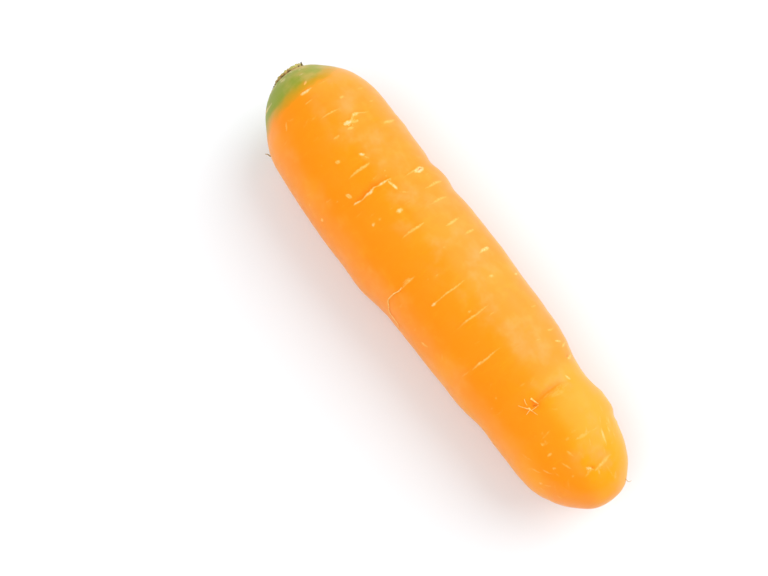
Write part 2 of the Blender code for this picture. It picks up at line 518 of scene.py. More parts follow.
def add_streak(streak, height=STREAK_HEIGHT):
    """A spindle of cork that stands up from a shallow trough, fuller towards one of its ends, with
    painted shade on one side.
    """
    u, w = scar_place(streak.along, streak.turn, streak.lean)
    phase = streak.along * 1.7 + streak.turn
    w = w + 0.09 * np.sin(0.9 * u + phase) + 0.035 * np.sin(3.1 * u + 2.0 * phase)
    way = np.clip(2.0 * u / streak.length, -1.0, 1.0)
    share = (1.0 - way**2) * (1.0 + 0.55 * math.sin(phase) * way)
    near = 1.0 - np.clip(np.abs(2.0 * u / streak.length) - 1.0, 0.0, 1.0)
    half_width = WIDER * streak.width / 2 * share**0.8 - (share <= 0.0) * PAST_END
    across = np.clip(w, -ACROSS_LIMIT, ACROSS_LIMIT)
    keep_scar(half_width, across, streak.pale * (0.7 + 0.3 * share))
    # Painted shade: darker orange in the trough on one side of the streak.
    painted_scar_shade[:] += 0.3 * streak.pale * share * np.exp(-(((w + SHADE_OFFSET) / 0.5) ** 2)) * near
    ridge = height * np.exp(-((w / (0.4 * streak.width + 0.22)) ** 2))
    trough = 0.6 * height * np.exp(-((w / (1.5 * streak.width + 0.7)) ** 2))
    return (ridge - trough) * share


def add_grain(grain, height=GRAIN_HEIGHT):
    """A round or oval grain of cork."""
    u, w = scar_place(grain.along, grain.turn, grain.lean)
    reach = np.hypot(2.0 * u / grain.length, 2.0 * w / grain.width)
    keep_scar((1.0 - reach) * grain.width / 2, np.zeros(POINTS), grain.pale)
    return height * np.exp(-(reach**2)) - 0.5 * height * np.exp(-((reach / 2.2) ** 2))


def add_pit(hole):
    """A small dark hole, with painted shade of darker orange round it."""
    u, w = scar_place(hole.along, hole.turn, hole.lean)
    reach = np.hypot(2.0 * u / hole.length, 2.0 * w / hole.width)
    np.maximum(pit, np.clip((1.0 - reach) * hole.width / 2, NO_SCAR, PIT_EDGE * hole.dark), out=pit)
    # Painted shade: darker orange round the pit.
    painted_scar_shade[:] += 0.8 * np.exp(-((reach / 1.8) ** 2))
    return -PIT_DEPTH * np.exp(-(reach**2))


def add_crease(path, depth, half_width, width, pale):
    """A long soft groove along a path of (turn, along), with a corky lip on its lower side and painted
    shade in the groove.
    """
    smooth_path = smooth_curve([Vector((turn, along, 0.0)) for turn, along in path], CORE_STEP)
    turns = [p.x for p in smooth_path]
    w = ALONG - np.interp(TURN, turns, [p.y for p in smooth_path])
    way = 2.0 * wrapped(TURN - (turns[0] + turns[-1]) / 2) / (turns[-1] - turns[0])
    share = np.clip(1.0 - way**2, 0.0, 1.0)
    fuller = 0.75 + 0.4 * np.sin(0.42 * TURN + 0.5)
    half = np.where(share > 0.0, width / 2 * share**0.6 * fuller, -PAST_END)
    across = np.clip(w - 0.1, -ACROSS_LIMIT, ACROSS_LIMIT)
    keep_scar(half, across, pale * (0.7 + 0.3 * fuller))
    # Painted shade: darker orange in the groove, on the side away from the lip.
    shade = np.exp(-(((w + SHADE_OFFSET + 0.1) / (1.3 * half_width)) ** 2))
    painted_scar_shade[:] += share**0.7 * shade * min(1.0, 3.0 * depth)
    groove = -depth * np.exp(-(((w + SHADE_OFFSET) / half_width) ** 2))
    lip = 0.5 * depth * np.exp(-(((w - 0.2) / (0.7 * half_width)) ** 2))
    return (groove + lip) * share**0.7


print("heights in mm: streak", STREAK_HEIGHT, "grain", GRAIN_HEIGHT, "pit", -PIT_DEPTH)

# %% Creases
Crease = namedtuple("Crease", "path depth half_width width pale")
CREASES = [
    Crease([(-30, 49.6), (-26, 49.8), (-20, 50.2), (-15, 49.8), (-11, 50), (-7, 49.4), (-2, 49.8),
            (5, 49.8), (10, 50)], 0.30, 0.7, 1.0, 1.0),
    Crease([(-14, 126.1), (-7, 126.4), (5, 126.1), (16, 126.0), (26, 125.8)], 0.24, 0.8, 0.5, 0.3),
    Crease([(140, 88.0), (152, 87.6), (163, 88.3), (172, 87.9)], 0.26, 0.6, 0.6, 0.8),
    Crease([(-172, 111.6), (-160, 112.1), (-149, 111.7), (-138, 112.3)], 0.24, 0.6, 0.5, 0.7),
]
for crease in CREASES:
    rise += add_crease(*crease)
print(len(CREASES), "creases")

# %% Marks placed one by one
STREAKS = [Streak(*row) for row in (
    (10, 1, 2.4, 0.6, -40, 0.75), (13, -4, 4.4, 0.9, 2, 0.95), (13.4, 15, 4.6, 0.5, 4, 0.3),
    (16.5, -9, 3.4, 0.55, 2, 0.5), (6.2, 6, 2.4, 0.5, 4, 0.45), (23.5, 0, 7, 0.5, 3, 0.55),
    (20.7, 42, 3.4, 0.6, 0, 0.35), (17.7, -39.5, 3.4, 0.6, -62, 0.5),
    (25.7, 43.5, 2.4, 0.6, 0, 0.45), (28.9, 8, 3.6, 1.25, 4, 1), (27.7, 18.5, 2.8, 1.1, 0, 0.8),
    (28.5, 13, 3.4, 0.8, -50, 0.5), (29.8, 14.5, 3, 0.8, 6, 0.6), (30.8, 7.5, 2.2, 0.9, 10, 0.7),
    (28.3, 26, 4.4, 0.4, 18, 0.5), (30.8, -7, 3, 0.7, 4, 0.5), (33.9, 47, 7.6, 0.9, -3, 0.55),
    (39.4, 2, 2.2, 0.9, 50, 0.95), (41, 4.2, 2.2, 0.5, 60, 0.5), (42.8, -7.5, 8.6, 0.95, -1, 0.5),
    (46.7, -28, 2.8, 1, 66, 0.75), (52, 6.8, 4.4, 0.9, 80, 1), (43.5, -45, 3, 0.5, 10, 0.3),
    (51.8, 37.5, 4.8, 1.8, -3, 1), (51.6, 27, 5.6, 0.5, -4, 0.55), (57.6, 41, 9.8, 0.75, -3, 0.62),
    (62.7, 32.5, 8.4, 0.7, 0, 0.5), (66.4, -3.5, 9, 0.7, 0, 0.6), (70.4, 30.5, 7, 0.8, -4, 0.6),
    (75.3, 37.5, 5.4, 0.8, -5, 0.55), (82, 39, 6.2, 1, -6, 0.85), (92.3, 57, 3, 0.8, 0, 0.9),
    (77.2, -35, 6.4, 0.5, -3, 0.68), (86.7, -13, 12.6, 0.5, 0, 0.6), (86.7, -29, 2.6, 0.75, 0, 0.95),
    (96.4, -10, 12.5, 0.6, 0, 0.65), (96.6, -24, 4, 0.4, 0, 0.2), (108.1, -22, 11.5, 0.6, 0, 0.6),
    (107.6, -46, 4, 0.5, 6, 0.35), (93.3, -65, 3, 1, 68, 0.6), (103.3, 46, 3.4, 0.6, 0, 0.45),
    (111.4, 48, 4.2, 0.7, 4, 0.5), (112.2, 27, 2.4, 0.5, 8, 0.35), (115.3, 49, 3.8, 0.6, 20, 0.9),
    (116.8, 57, 4.4, 0.6, -16, 0.75), (120.6, 58, 4.8, 0.9, -8, 0.8),
    (125.4, 33.5, 2.4, 0.9, 70, 0.8), (127, 24, 3.4, 1.2, 0, 0.2), (127.6, 12, 6, 1.5, 4, 0.24),
    (141.2, 9, 5.6, 1, 4, 0.32), (138.8, 3, 2.4, 0.8, 12, 0.16), (143.2, -12, 3.2, 0.8, 75, 0.3),
    (144.8, 29, 5.6, 0.8, 104, 0.7), (143.2, 41, 4.4, 0.6, 104, 0.55), (142, 48, 3.6, 0.5, 112, 0.5),
    (146, 46, 2.2, 0.6, 95, 0.45), (140.6, 35, 3.4, 0.45, 120, 0.35),
    (147.8, 21, 2.6, 0.5, 100, 0.3), (150.3, 12, 7.6, 0.8, -10, 0.6), (149.5, -5.5, 2.4, 0.8, 48, 1),
    (141, -53, 3.8, 0.5, 60, 0.5), (143.3, -43.5, 3.8, 0.5, 66, 0.45),
    (146.2, -58, 2.8, 0.5, 40, 0.45),
)]
GRAINS = [Grain(*row) for row in (
    (12.9, -9, 1.4, 1.1, 0, 1), (21, 18, 1.4, 0.9, 0, 0.75), (36.9, -18, 1.7, 1.2, 30, 0.8),
    (39.5, -67, 1.8, 0.6, 0, 0.45), (34.7, -82, 1.4, 0.8, 0, 0.8), (45.6, -39, 0.9, 0.7, 0, 0.6),
    (47.8, -37, 0.8, 0.6, 0, 0.5), (45.6, -65, 1.6, 1.2, 20, 0.8), (47.2, 9, 0.8, 0.6, 0, 0.7),
    (48.7, 8, 0.8, 0.6, 0, 0.7), (59.5, -2, 2.2, 1.6, 8, 0.75), (58, -26, 1.4, 1, -20, 0.85),
    (58, -19, 1.4, 0.8, 0, 0.4), (75.5, 8, 1, 0.8, 0, 0.4), (81, -12, 1.6, 0.7, 0, 0.4),
    (80.2, -20, 0.9, 0.7, 0, 0.4), (89.8, 27, 1.2, 1.1, 0, 0.95), (94.7, -9, 1.3, 0.8, 0, 0.6),
    (108, -29, 1.6, 0.8, 0, 0.95), (118.3, -38, 0.9, 0.7, 0, 0.5), (134, -22, 0.9, 0.8, 0, 0.5),
    (136.5, -28, 1.4, 1, 60, 0.6), (136.2, -24.5, 0.8, 0.6, 0, 0.45), (139.9, -29, 2, 0.8, 0, 0.6),
    (139.4, -6, 1.4, 1, 0, 0.3), (143.6, -35, 1.1, 0.8, 40, 0.85), (148.4, -26, 1, 0.8, 0, 0.4),
    (147.3, 36, 1.1, 0.7, 0, 0.4), (144.5, -62, 1.2, 0.8, 30, 1),
)]
PITS = [Pit(*row) for row in (
    (51.6, 38.5, 2.4, 0.6, -8, 0.7), (52.1, 34.6, 0.8, 0.45, 0, 0.8), (81.8, 46.5, 0.7, 0.6, 0, 0.9),
    (120.2, 53, 0.8, 0.6, 0, 0.8), (126.6, -12.2, 1.8, 1, 30, 0.45), (96.2, 127, 1.2, 0.6, 0, 0.9),
    (60.1, -141, 0.9, 0.5, 0, 0.9), (149.7, -2, 0.8, 0.5, 48, 0.6),
)]
for streak in STREAKS:
    rise += add_streak(streak)
for grain in GRAINS:
    rise += add_grain(grain)
for hole in PITS:
    rise += add_pit(hole)
print(len(STREAKS), "streaks,", len(GRAINS), "grains and", len(PITS), "pits")

# %% [markdown]
# The sides that face away carry the same kinds of scar, drawn at random from a fixed seed and
# crowded into the rows that side roots grow in. Faint ones are strewn over the whole root, because
# real skin is never empty between its clear marks. Short wrinkles run lengthwise near the tip, cork
# covers the far side of the crown, a collar of fine cream grains rings the crown where the old
# leaves sat, and the thin end of the tap root has left a scar at the very tip.

# %% Scars on the rest of the root
ROOT_ROWS = (82.0, 128.0, 172.0, 218.0, 262.0)
ROW_SPREAD = 7.0
SHARE_IN_ROWS = 0.7
draws = random.Random(11)


def between(low, high):
    """A way to draw a value anywhere between two limits."""
    return lambda: draws.uniform(low, high)


def about(middle, spread):
    """A way to draw a value that is mostly near the middle one."""
    return lambda: draws.gauss(middle, spread)


hidden_side = between(66.0, 278.0)
all_round = between(-180.0, 180.0)


def hidden_turn():
    """A direction on the far side, more often than not in one of the rows."""
    if draws.random() < SHARE_IN_ROWS:
        return wrapped(draws.choice(ROOT_ROWS) + draws.gauss(0.0, ROW_SPREAD))
    return wrapped(hidden_side())


def strew_streaks(count, height, *ways):
    """Adds streaks. Each of their six measures is drawn in its own way."""
    for _ in range(count):
        rise[:] += add_streak(Streak(*(draw() for draw in ways)), height)


def strew_grains(count, height, size, along, turn, stretch, lean, pale):
    """Adds grains. A stretch over 1 makes a grain longer, and one under 1 makes it narrower."""
    for _ in range(count):
        across = size()
        place = along(), turn()
        longer = stretch()
        shape = across * max(longer, 1.0), across * min(longer, 1.0)
        rise[:] += add_grain(Grain(*place, *shape, lean(), pale()), height)


print("rows of side roots at", ROOT_ROWS, "degrees")

# %% Strew the scars
# Clear marks on the hidden sides
strew_streaks(64, STREAK_HEIGHT, between(12, 150), hidden_turn, between(2.4, 9),
              between(0.45, 1), about(0, 7), between(0.35, 0.95))
strew_grains(46, GRAIN_HEIGHT, between(0.8, 1.8), between(10, 153), hidden_turn, between(0.6, 0.9),
             between(-60, 60), between(0.4, 0.9))
# Faint streaks everywhere
strew_streaks(160, 0.04, between(12, 154), all_round, between(1.2, 4.6), between(0.35, 0.8),
              about(0, 16), between(0.10, 0.32))
# Wrinkles near the tip
strew_streaks(44, 0.10, between(136, 155), all_round, between(2, 5), between(0.35, 0.8),
              about(100, 22), between(0.12, 0.4))
# Cork on the far side of the crown
strew_streaks(30, 0.12, between(1.9, 7.5), between(95, 300), between(2.5, 8), between(0.4, 1.1),
              about(0, 9), between(0.5, 1))
strew_grains(70, 0.1, between(0.4, 0.9), between(1.8, 8), between(90, 310), between(1, 2.4),
             about(0, 20), between(0.4, 0.9))
# The collar of fine grains
strew_grains(130, 0.09, between(0.35, 0.75), between(1.6, 3.8), all_round, between(1, 2.2),
             about(0, 25), between(0.5, 1))

TIP_SCAR = 1.1
TIP_HOLE = 0.35
TIP_FROM = 150.0
TIP_PALE = 0.7
ragged = 1.0 + 0.3 * np.sin(np.radians(2.0 * TURN + 40.0)) + 0.18 * np.sin(np.radians(5.0 * TURN))
near_tip = ALONG > TIP_FROM
keep_scar(np.where(near_tip, TIP_SCAR * ragged - RADIUS, NO_SCAR), np.zeros(POINTS), TIP_PALE)
np.maximum(pit, np.where(near_tip, TIP_HOLE * ragged - RADIUS, NO_SCAR), out=pit)
scarred = float((scar_width > np.abs(scar_across)).mean())
print("scars cover", round(100 * scarred, 1), "percent of the points")

# %% [markdown]
# ## Bend it, press it flat and put it in the frame
#
# The swollen, scarred surface is moved off its straight axis onto the slightly bent middle line, the
# lowest half millimetre is pressed flat where the weight rests, and the skin is slid so that it sits
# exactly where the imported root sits.

# %% Place the skin
swell = np.divide(RADIUS + rise * BODY_SHARE, RADIUS, out=np.ones(POINTS), where=RADIUS > 0.3)
core_side, core_height = core_at(ALONG)
skin_y = spun[:, 1] * swell + core_side
skin_z = spun[:, 2] * swell + core_height
heart_low, heart_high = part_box("leaf_heart")
SHIFT_X = CAD_LOW[0] / MM
SHIFT_Y = (heart_low.y + heart_high.y) / 2 / MM
SHIFT_Z = (heart_low.z + heart_high.z) / 2 / MM
skin_z = np.maximum(skin_z, CAD_LOW[2] / MM - SHIFT_Z)


def to_frame(points):
    """Millimetres along, sideways and up, from the root's own axis to metres in the frame."""
    return (np.asarray(points, dtype=float) + (SHIFT_X, SHIFT_Y, SHIFT_Z)) * MM


root_mesh.vertices.foreach_set("co", to_frame(np.column_stack((ALONG, skin_y, skin_z))).ravel())
# Painted shade: the hollow of the crown, out to just past its rim, is turned near-black brown.
HOLLOW_SHADE_RADIUS = 6.8
HOLLOW_SHADE_FADE = 0.9
hollow_shade_share = np.clip((HOLLOW_SHADE_RADIUS - RADIUS) / HOLLOW_SHADE_FADE, 0.0, 1.0) * (ALONG < CROWN_PART)
stored = {
    "scar_width": scar_width,
    "scar_across": scar_across,
    "scar_tone": scar_tone,
    "pit": pit,
    "painted_scar_shade": np.clip(painted_scar_shade, 0.0, 1.0),
    "hollow_shade": hollow_shade_share,
}
for name, values in stored.items():
    layer = root_mesh.attributes.new(name, "FLOAT", "POINT")
    layer.data.foreach_set("value", values.astype(np.float32))
root_mesh.update()
root_mesh.shade_smooth()
carrot_skin = add_object("carrot_skin", root_mesh)
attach(carrot_skin, "root")
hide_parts("carrot_root")
print("slid by", round(SHIFT_X, 2), round(SHIFT_Y, 2), round(SHIFT_Z, 2), "mm")

# %% [markdown]
# ## The skin material
#
# Washed carrot is a warm, saturated orange with soft clouds in it: lighter ones, pinker towards the
# shoulder and yellower towards the tip. Along the top, a band of painted sheen is pinker, and beside it
# a band of painted shade is deeper orange where the skin shows no sheen. The skin's sheen is moist but
# not mirror-like, and a little light goes into it. The shoulder turns green by way of olive, and is
# tanned on one side. Cork is cream and dull. Painted shade darkens the orange beside the scars and
# makes the hollow of the crown near black. The colours are mixed in that order, and the same masks
# drive the roughness and the fine bumps.

# %% Colours of the skin
DEEP_ORANGE = (0.93, 0.268, 0.0004, 1)
WARM_ORANGE = (0.94, 0.275, 0.004, 1)
LIGHT_ORANGE = (0.95, 0.345, 0.006, 1)
PINK_ORANGE = (0.96, 0.335, 0.080, 1)
TIP_ORANGE = (0.95, 0.340, 0.001, 1)
# Painted shade beside scars and in creases.
SCAR_SHADE_ORANGE = (0.90, 0.190, 0.001, 1)
PIT_BROWN = (0.45, 0.115, 0.003, 1)
CORK_ORANGE = (0.96, 0.43, 0.075, 1)
CORK_CREAM = (0.98, 0.57, 0.26, 1)
CORK_TAN = (0.55, 0.50, 0.20, 1)
SHOULDER_GREEN = (0.27, 0.325, 0.018, 1)
SHOULDER_TAN = (0.50, 0.37, 0.070, 1)
SHOULDER_OLIVE = (0.60, 0.31, 0.009, 1)
# Painted shade in the hollow of the crown.
HOLLOW_SHADE_BROWN = (0.10, 0.065, 0.022, 1)
TIP_YELLOWS = 50
GREEN_ENDS = 10.2
GREEN_SLANT = 0.05
TAN_PER_METRE = 34
# Painted shade: a band along the top, deeper orange where the skin shows no sheen.
NO_SHEEN_BAND = (-16, -11.5, -5.5, 1)
NO_SHEEN_SHARE = 0.85
# Painted sheen: a band along the top is made pinker.
SHEEN_BAND = (-7, -2, 6, 12)
SHEEN_IN_BAND = 0.30
PINK_ANYWHERE = 0.27
PINK_SHOULDER = (10, 34)
PINKER_SHOULDER = 0.5
BANDS_WANDER = 0.016
LIGHT_WIDE = 0.7
LIGHT_SMALL = 0.3
LIGHT_RINGS = 0.3
SCAR_SHADE_SHARE = 0.75


def long_band(sideways, limits):
    """A soft band that runs the length of the root, between limits given in mm to the side."""
    near_edge, near_full, far_full, far_edge = (limit * MM for limit in limits)
    rising = smooth_step(sideways, near_edge, near_full)
    return times(rising, smooth_step(sideways, far_edge, far_full))


def root_orange(place):
    """The orange of the root, with soft clouds and faint rings in it, and painted bands of sheen and of
    no sheen along the top.
    """
    clouds = smooth_step(cloudy(place, 75, 2, 0.55), 0.46, 0.62)
    wide = cloudy(stretched(place, (1, 0.6, 0.6)), 38, 1.5)
    wide_clouds = smooth_step(wide, 0.48, 0.72)
    small_clouds = smooth_step(cloudy(place, 260, 3, 0.6), 0.45, 0.70)
    rings = cloudy(stretched(place, (1, 0.16, 0.16)), 900, 3, 0.6)
    colour = mixed(clouds, DEEP_ORANGE, WARM_ORANGE)
    colour = mixed(times(wide_clouds, LIGHT_WIDE), colour, LIGHT_ORANGE)
    colour = mixed(times(small_clouds, LIGHT_SMALL), colour, LIGHT_ORANGE)
    axes = axes_of(place)
    towards_tip = smooth_step(axes["X"], TIP_END - TIP_YELLOWS * MM, TIP_END)
    colour = mixed(towards_tip, colour, TIP_ORANGE)
    sideways = plus(axes["Y"], waver(place, 45, BANDS_WANDER))
    pink_clouds = smooth_step(cloudy(place, 130, 3, 0.55), 0.42, 0.76)
    shoulder_low, shoulder_high = (CROWN_END + edge * MM for edge in PINK_SHOULDER)
    pink_shoulder = smooth_step(axes["X"], shoulder_high, shoulder_low)
    pink_clouds = plus(pink_clouds, times(pink_shoulder, PINKER_SHOULDER))
    # Painted sheen: the pink clouds grow stronger in a band along the top, on top of the real pink
    # clouds.
    painted_sheen_band = times(long_band(sideways, SHEEN_BAND), SHEEN_IN_BAND)
    pink_and_sheen_strength = plus(PINK_ANYWHERE, painted_sheen_band)
    colour = mixed(times(pink_clouds, pink_and_sheen_strength), colour, PINK_ORANGE)
    # Painted shade: the band without sheen is made deeper orange.
    painted_no_sheen_share = times(long_band(sideways, NO_SHEEN_BAND), NO_SHEEN_SHARE)
    colour = mixed(painted_no_sheen_share, colour, DEEP_ORANGE)
    ring_share = times(smooth_step(rings, 0.55, 0.8), LIGHT_RINGS)
    return mixed(ring_share, colour, LIGHT_ORANGE), clouds, rings


def from_green_edge(place):
    """Millimetres from the edge of the green shoulder, which runs aslant and wanders a little."""
    axes = axes_of(place)
    along = math_node("SUBTRACT", axes["X"], CROWN_END + GREEN_ENDS * MM)
    along = plus(along, times(axes["Y"], GREEN_SLANT))
    return plus(times(along, 1 / MM), waver(place, 150, 5))


def scar_shares(tree, place):
    """How much of the cream cork and of the dark pits shows at each place."""
    across = plus(attribute(tree, "scar_across"), waver(place, 1500, 0.42))
    uneven = plus(0.6, times(cloudy(place, 620), 0.8))
    width = times(attribute(tree, "scar_width"), uneven)
    inside = math_node("SUBTRACT", width, math_node("ABSOLUTE", across))
    spots = smooth_step(cloudy(place, 1500, 3), 0.35, 0.6)
    tone = times(attribute(tree, "scar_tone"), plus(0.6, times(spots, 0.5)))
    cork = times(smooth_step(inside, -0.24, 0.40), tone)
    hole = plus(attribute(tree, "pit"), waver(place, 2200, 0.2))
    return cork, smooth_step(hole, -0.04, PIT_EDGE)


print("green shoulder ends", GREEN_ENDS, "mm from the crown end")

# %% Skin material
skin_material, tree, shader = new_material("carrot_skin", {
    "Specular IOR Level": 0.26,
    "Subsurface Weight": 0.15,
    "Subsurface Radius": (1, 0.35, 0.10),
    "Subsurface Scale": 0.002,
})
place = object_place(tree)
colour, clouds, rings = root_orange(place)
from_edge = from_green_edge(place)
green_share = smooth_step(from_edge, 0.8, -2.2)
sideways = axes_of(place)["Y"]
tan_share = plus(cloudy(place, 260), times(sideways, TAN_PER_METRE))
tan_share = plus(tan_share, waver(place, 90, 1.2))
green = mixed(smooth_step(tan_share, 0.3, 0.9), SHOULDER_GREEN, SHOULDER_TAN)
cork_share, pit_share = scar_shares(tree, place)
# The painted shade in the hollow of the crown, which also dulls the skin there.
hollow_shade = attribute(tree, "hollow_shade")
for share, tint in (
    (smooth_step(from_edge, 3.4, 0.4), SHOULDER_OLIVE),
    (green_share, green),
    # Painted shade beside the scars, in darker orange.
    (times(attribute(tree, "painted_scar_shade"), SCAR_SHADE_SHARE), SCAR_SHADE_ORANGE),
    (smooth_step(cork_share, 0, 0.55), mixed(green_share, CORK_ORANGE, CORK_TAN)),
    (smooth_step(cork_share, 0.48, 1), CORK_CREAM),
    (pit_share, PIT_BROWN),
    (hollow_shade, HOLLOW_SHADE_BROWN),
):
    colour = mixed(share, colour, tint)
dullness = [(cloudy(place, 320), 0.14), (cork_share, 0.35), (green_share, 0.12), (hollow_shade, 0.3)]
roughness = plus(0.28, *(times(share, amount) for share, amount in dullness))
fine_grain = times(cloudy(place, 2600), 0.12)
cork_grain = times(cloudy(place, 3200), cork_share)
height = plus(times(rings, 0.6), times(clouds, 0.4), fine_grain)
height = plus(height, times(cork_grain, 0.8))
link_finish(tree, shader, colour, roughness, height, strength=0.5, depth=0.00012)
root_mesh.materials.append(skin_material)
print("skin material has", len(tree.nodes), "nodes")

# %% [markdown]
# ## The crown
#
# The leaf stalks were cut off short. Each stub is a crescent of stalk, thick in the middle and thin
# at its edges, with ribs down its outer face and a torn, dished top. Five outer stubs and three
# inner ones, no two of the same height, stand round the bud of young leaf bases. A stub starts as a
# cube that is cut into a fine block and then bent round the crown by moving its points, which keeps
# it one closed shape with even faces. Lofted shells would take far more hand-placed points.

# %% A block bent into a band of stalk
Band = namedtuple(
    "Band", "turn width radius thickness foot top lean point tear ribs spiral", defaults=[0.0]
)
CREVICE_ALONG = 0.7
CREVICE_RADIUS = 4.0
CREVICE_WIDTH = 0.5


def fine_block(cuts):
    """A closed cube from -1 to 1, cut into quads along each of its three directions."""
    bm = bmesh.new()
    bmesh.ops.create_cube(bm, size=2.0)
    for axis, count in enumerate(cuts):
        ways = [e for e in bm.edges if abs((e.verts[1].co - e.verts[0].co)[axis]) > 0.001]
        bmesh.ops.subdivide_edges(bm, edges=ways, cuts=count, use_grid_fill=True)
    return bm


def bend_band(bm, band, seed):
    """Bends a block round the crown. Returns a value from 0 to 1 for each of its points: how dried it
    is, plus painted shade where it passes the rim of the crown.
    """
    offset = Vector((seed * 7.31, seed * 3.17, seed * 1.13))
    dryness_and_shade = []
    for vert in bm.verts:
        across, up, depth = vert.co.x, (vert.co.y + 1.0) / 2.0, vert.co.z
        fibre = noise.noise(Vector((across * 7.0, depth * 1.5, 0.0)) + offset)
        rough = noise.noise(Vector((across * 14.0, up * 5.0, depth * 5.0)) + offset)
        top = band.top + band.tear * (fibre + 0.4 * rough)
        dish = 0.35 * band.thickness * (1.0 - across**2) * (1.0 - depth**2)
        along = band.foot + (top + dish - band.foot) * up
        narrow = 1.0 - band.point * up**2
        crescent = 0.28 + 0.72 * math.sqrt(max(0.0, 1.0 - across**2))
        radius = band.radius + band.spiral * across
        radius += depth * band.thickness / 2 * crescent * (1.0 - 0.45 * band.point * up)
        rib = math.cos(band.ribs * across * math.pi + seed)
        radius += max(depth, 0.0) * 0.06 * rib + 0.05 * rough
        radius += band.lean * (band.foot - along)
        angle = math.radians(band.turn + across * narrow * band.width / 2 + 2.0 * fibre * up)
        vert.co = (along, radius * math.sin(angle), radius * math.cos(angle))
        # Painted shade: a band where the stub passes the rim of the crown is browned as if dried.
        crevice_shade = math.exp(-(((along - CREVICE_ALONG) / CREVICE_WIDTH) ** 2))
        crevice_shade *= band.radius > CREVICE_RADIUS
        torn = 0.5 * up**8 + 1.2 * band.point * up**3
        dryness_and_shade.append(min(1.0, max(0.0, torn + 1.9 * crevice_shade + 0.8 * rough - 0.15)))
    return dryness_and_shade


def crown_piece(name, bands, cuts, node=None):
    """One piece made of one or more bands, stored in the frame with its drying and painted shade on its
    points.
    """
    together = bmesh.new()
    dryness_and_shade = []
    for seed, band in enumerate(bands, start=len(name)):
        bm = fine_block(cuts)
        dryness_and_shade += bend_band(bm, band, seed)
        bmesh.ops.recalc_face_normals(bm, faces=bm.faces)
        one = bpy.data.meshes.new("band")
        bm.to_mesh(one)
        bm.free()
        together.from_mesh(one)
        bpy.data.meshes.remove(one)
    for vert in together.verts:
        vert.co = to_frame(vert.co)
    mesh = bpy.data.meshes.new(name)
    together.to_mesh(mesh)
    together.free()
    layer = mesh.attributes.new("dryness_and_shade", "FLOAT", "POINT")
    layer.data.foreach_set("value", dryness_and_shade)
    mesh.shade_smooth()
    piece = add_object(name, mesh)
    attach(piece, "root")
    if node:
        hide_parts(node)
    return piece


print("a band has", len(Band._fields), "measures")

# %% Leaf stubs
STUB_FOOT = 3.2
STUB_CUTS = (37, 13, 7)
OUTER_RING = {"radius": 4.6, "thickness": 1.3, "lean": 0.24, "spiral": 0.42}
INNER_RING = {"radius": 2.55, "thickness": 1.15, "lean": 0.16, "spiral": 0.3}
Stub = namedtuple("Stub", "node ring turn width top inward")
STUBS = [
    Stub("leaf_stub_outer_1", OUTER_RING, 36, 80, -0.55, 0.45),
    Stub("leaf_stub_outer_2", OUTER_RING, 112, 88, 0.1, 0.3),
    Stub("leaf_stub_outer_3", OUTER_RING, 186, 80, -0.5, 0),
    Stub("leaf_stub_outer_4", OUTER_RING, 257, 84, 0.3, 0.1),
    Stub("leaf_stub_outer_5", OUTER_RING, 325, 82, -0.15, 0.05),
    Stub("leaf_stub_inner_1", INNER_RING, 20, 110, 0.2, 0),
    Stub("leaf_stub_inner_2", INNER_RING, 140, 96, 0.7, -0.1),
    Stub("leaf_stub_inner_3", INNER_RING, 260, 118, -0.2, 0.1),
]
crown_pieces = []
for stub in STUBS:
    ring = stub.ring
    band = Band(
        stub.turn, stub.width, ring["radius"] - stub.inward, ring["thickness"], STUB_FOOT, stub.top,
        ring["lean"], point=0.06, tear=0.35, ribs=5, spiral=ring["spiral"],
    )
    crown_pieces.append(crown_piece(stub.node + "_torn", [band], STUB_CUTS, stub.node))
print(len(crown_pieces), "stubs of", len(crown_pieces[0].data.polygons), "faces each")

# %% [markdown]
# The bud in the middle is a few young leaf bases folded round each other. Outside the stubs, scraps
# of older stalks have dried to thin brown scales that stand against the rim of the hollow, and one
# of them is left as a stiff dark spike. They are the same bent block, made thin and pointed.

# %% Heart and dry scales
HEART_CUTS = (15, 9, 3)
SCALE_CUTS = (9, 9, 1)
heart_bands = [
    Band(
        80 * i, 150 - 12 * i, 1.3 - 0.25 * i, 0.44, STUB_FOOT, -0.2 + 0.15 * i,
        lean=-0.12, point=0.75, tear=0.2, ribs=3,
    )
    for i in range(4)
]
crown_pieces.append(crown_piece("leaf_heart_bud", heart_bands, HEART_CUTS, "leaf_heart"))

draws = random.Random(29)
SCALE_COUNT = 22
scale_bands = [
    Band(
        FULL_TURN * i / SCALE_COUNT + draws.uniform(-6, 6), draws.uniform(10, 26),
        draws.uniform(5.1, 5.5), draws.uniform(0.16, 0.3), STUB_FOOT, draws.uniform(0.35, 1.1),
        lean=draws.uniform(0.1, 0.4), point=draws.uniform(0.5, 0.98), tear=0.7, ribs=2,
        spiral=draws.uniform(-0.2, 0.3),
    )
    for i in range(SCALE_COUNT)
]
SPIKE = Band(44, 8, 4.8, 0.45, STUB_FOOT, -0.05, lean=0.66, point=0.8, tear=0.2, ribs=1)
scale_bands.append(SPIKE)
crown_pieces.append(crown_piece("dry_leaf_scales", scale_bands, SCALE_CUTS))
print("heart of", len(heart_bands), "young leaf bases,", len(scale_bands), "dry scales")

# %% [markdown]
# Stalk is fibrous: fresh yellow-green low down, tan where it has dried, and almost black at the torn
# tips, and a band of painted shade turns it almost black where it passes the rim of the hollow. The
# fibres run along the root, so the pattern that draws them is stretched that way, and the drying and
# shade kept on the points move the colour from green to brown.

# %% Stalk material
STALK_GREEN = (0.36, 0.36, 0.08, 1)
STALK_YELLOW = (0.58, 0.50, 0.16, 1)
STALK_TAN = (0.50, 0.30, 0.10, 1)
STALK_BROWN = (0.14, 0.085, 0.028, 1)


